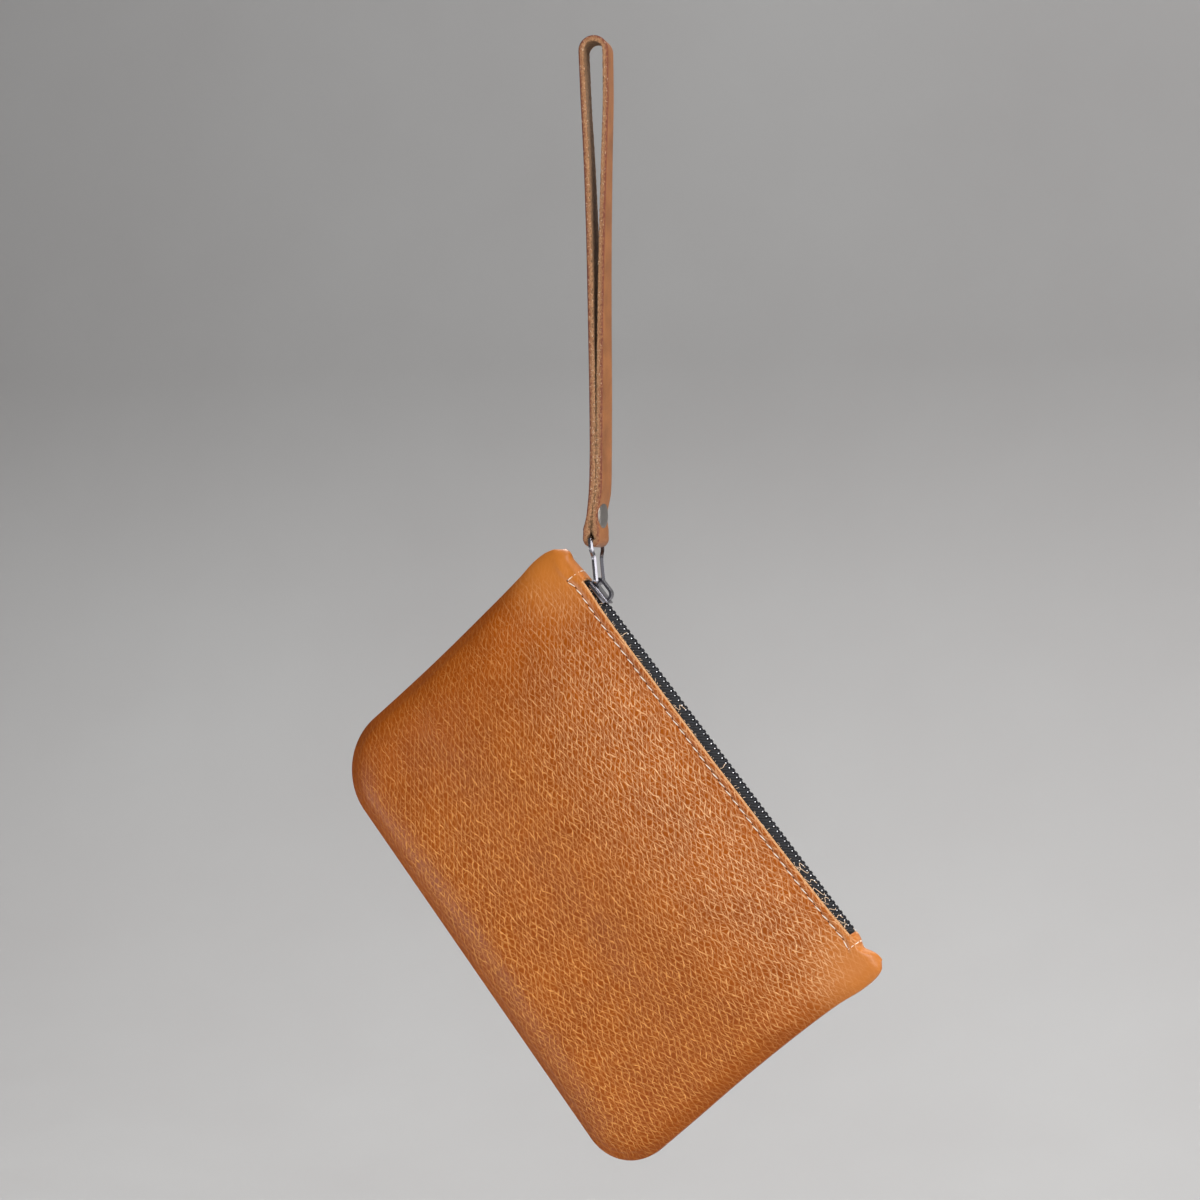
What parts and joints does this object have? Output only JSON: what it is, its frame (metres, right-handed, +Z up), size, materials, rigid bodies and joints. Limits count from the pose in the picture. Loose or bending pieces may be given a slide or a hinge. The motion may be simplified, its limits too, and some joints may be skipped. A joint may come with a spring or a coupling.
{
  "type": "wristlet clutch",
  "caption": "Flat zip pouch of pebbled leather with folded top corners, hanging from a leather wrist strap that is riveted to the zip's pull ring.",
  "frame": {"origin": "inside of the top of the strap's loop, where the strap hangs on a wrist, hand or peg", "axes": "+Z up along the hanging strap, +X along the pouch's flat side towards the free end of the zip, -Y out of the front panel"},
  "size_m": [0.1934, 0.0164, 0.3862],
  "materials": {
    "pebbled_leather": "tan pebbled leather, soft sheen, lighter along its creases",
    "strap_leather": "smooth tan leather with raw fibrous edges and a dark flesh side",
    "zip_tape": "black woven zip tape",
    "zip_teeth": "bright metal teeth",
    "gunmetal": "dark polished gunmetal plating",
    "rivet_metal": "grey satin rivet cap"
  },
  "bodies": {
    "strap": {"wrist_strap": "strap_leather", "strap_rivet": "rivet_metal"},
    "ring": {"pull_ring": "gunmetal"},
    "pouch": {"pouch_leather": "pebbled_leather", "zip_tape_front": "zip_tape", "zip_tape_back": "zip_tape", "zip_chain": "zip_teeth", "zip_slider": "gunmetal"}
  },
  "joints": [
    {"name": "ring_in_strap", "type": "hinge", "parent": "strap", "child": "ring", "pos_m": [0, 0, -0.1708], "axis": [0, 1, 0], "range_deg": [-25, 25]},
    {"name": "pouch_on_ring", "type": "hinge", "parent": "ring", "child": "pouch", "pos_m": [0.00144, 0, -0.18603], "axis": [0, 1, 0], "range_deg": [-100, 15]}
  ]
}
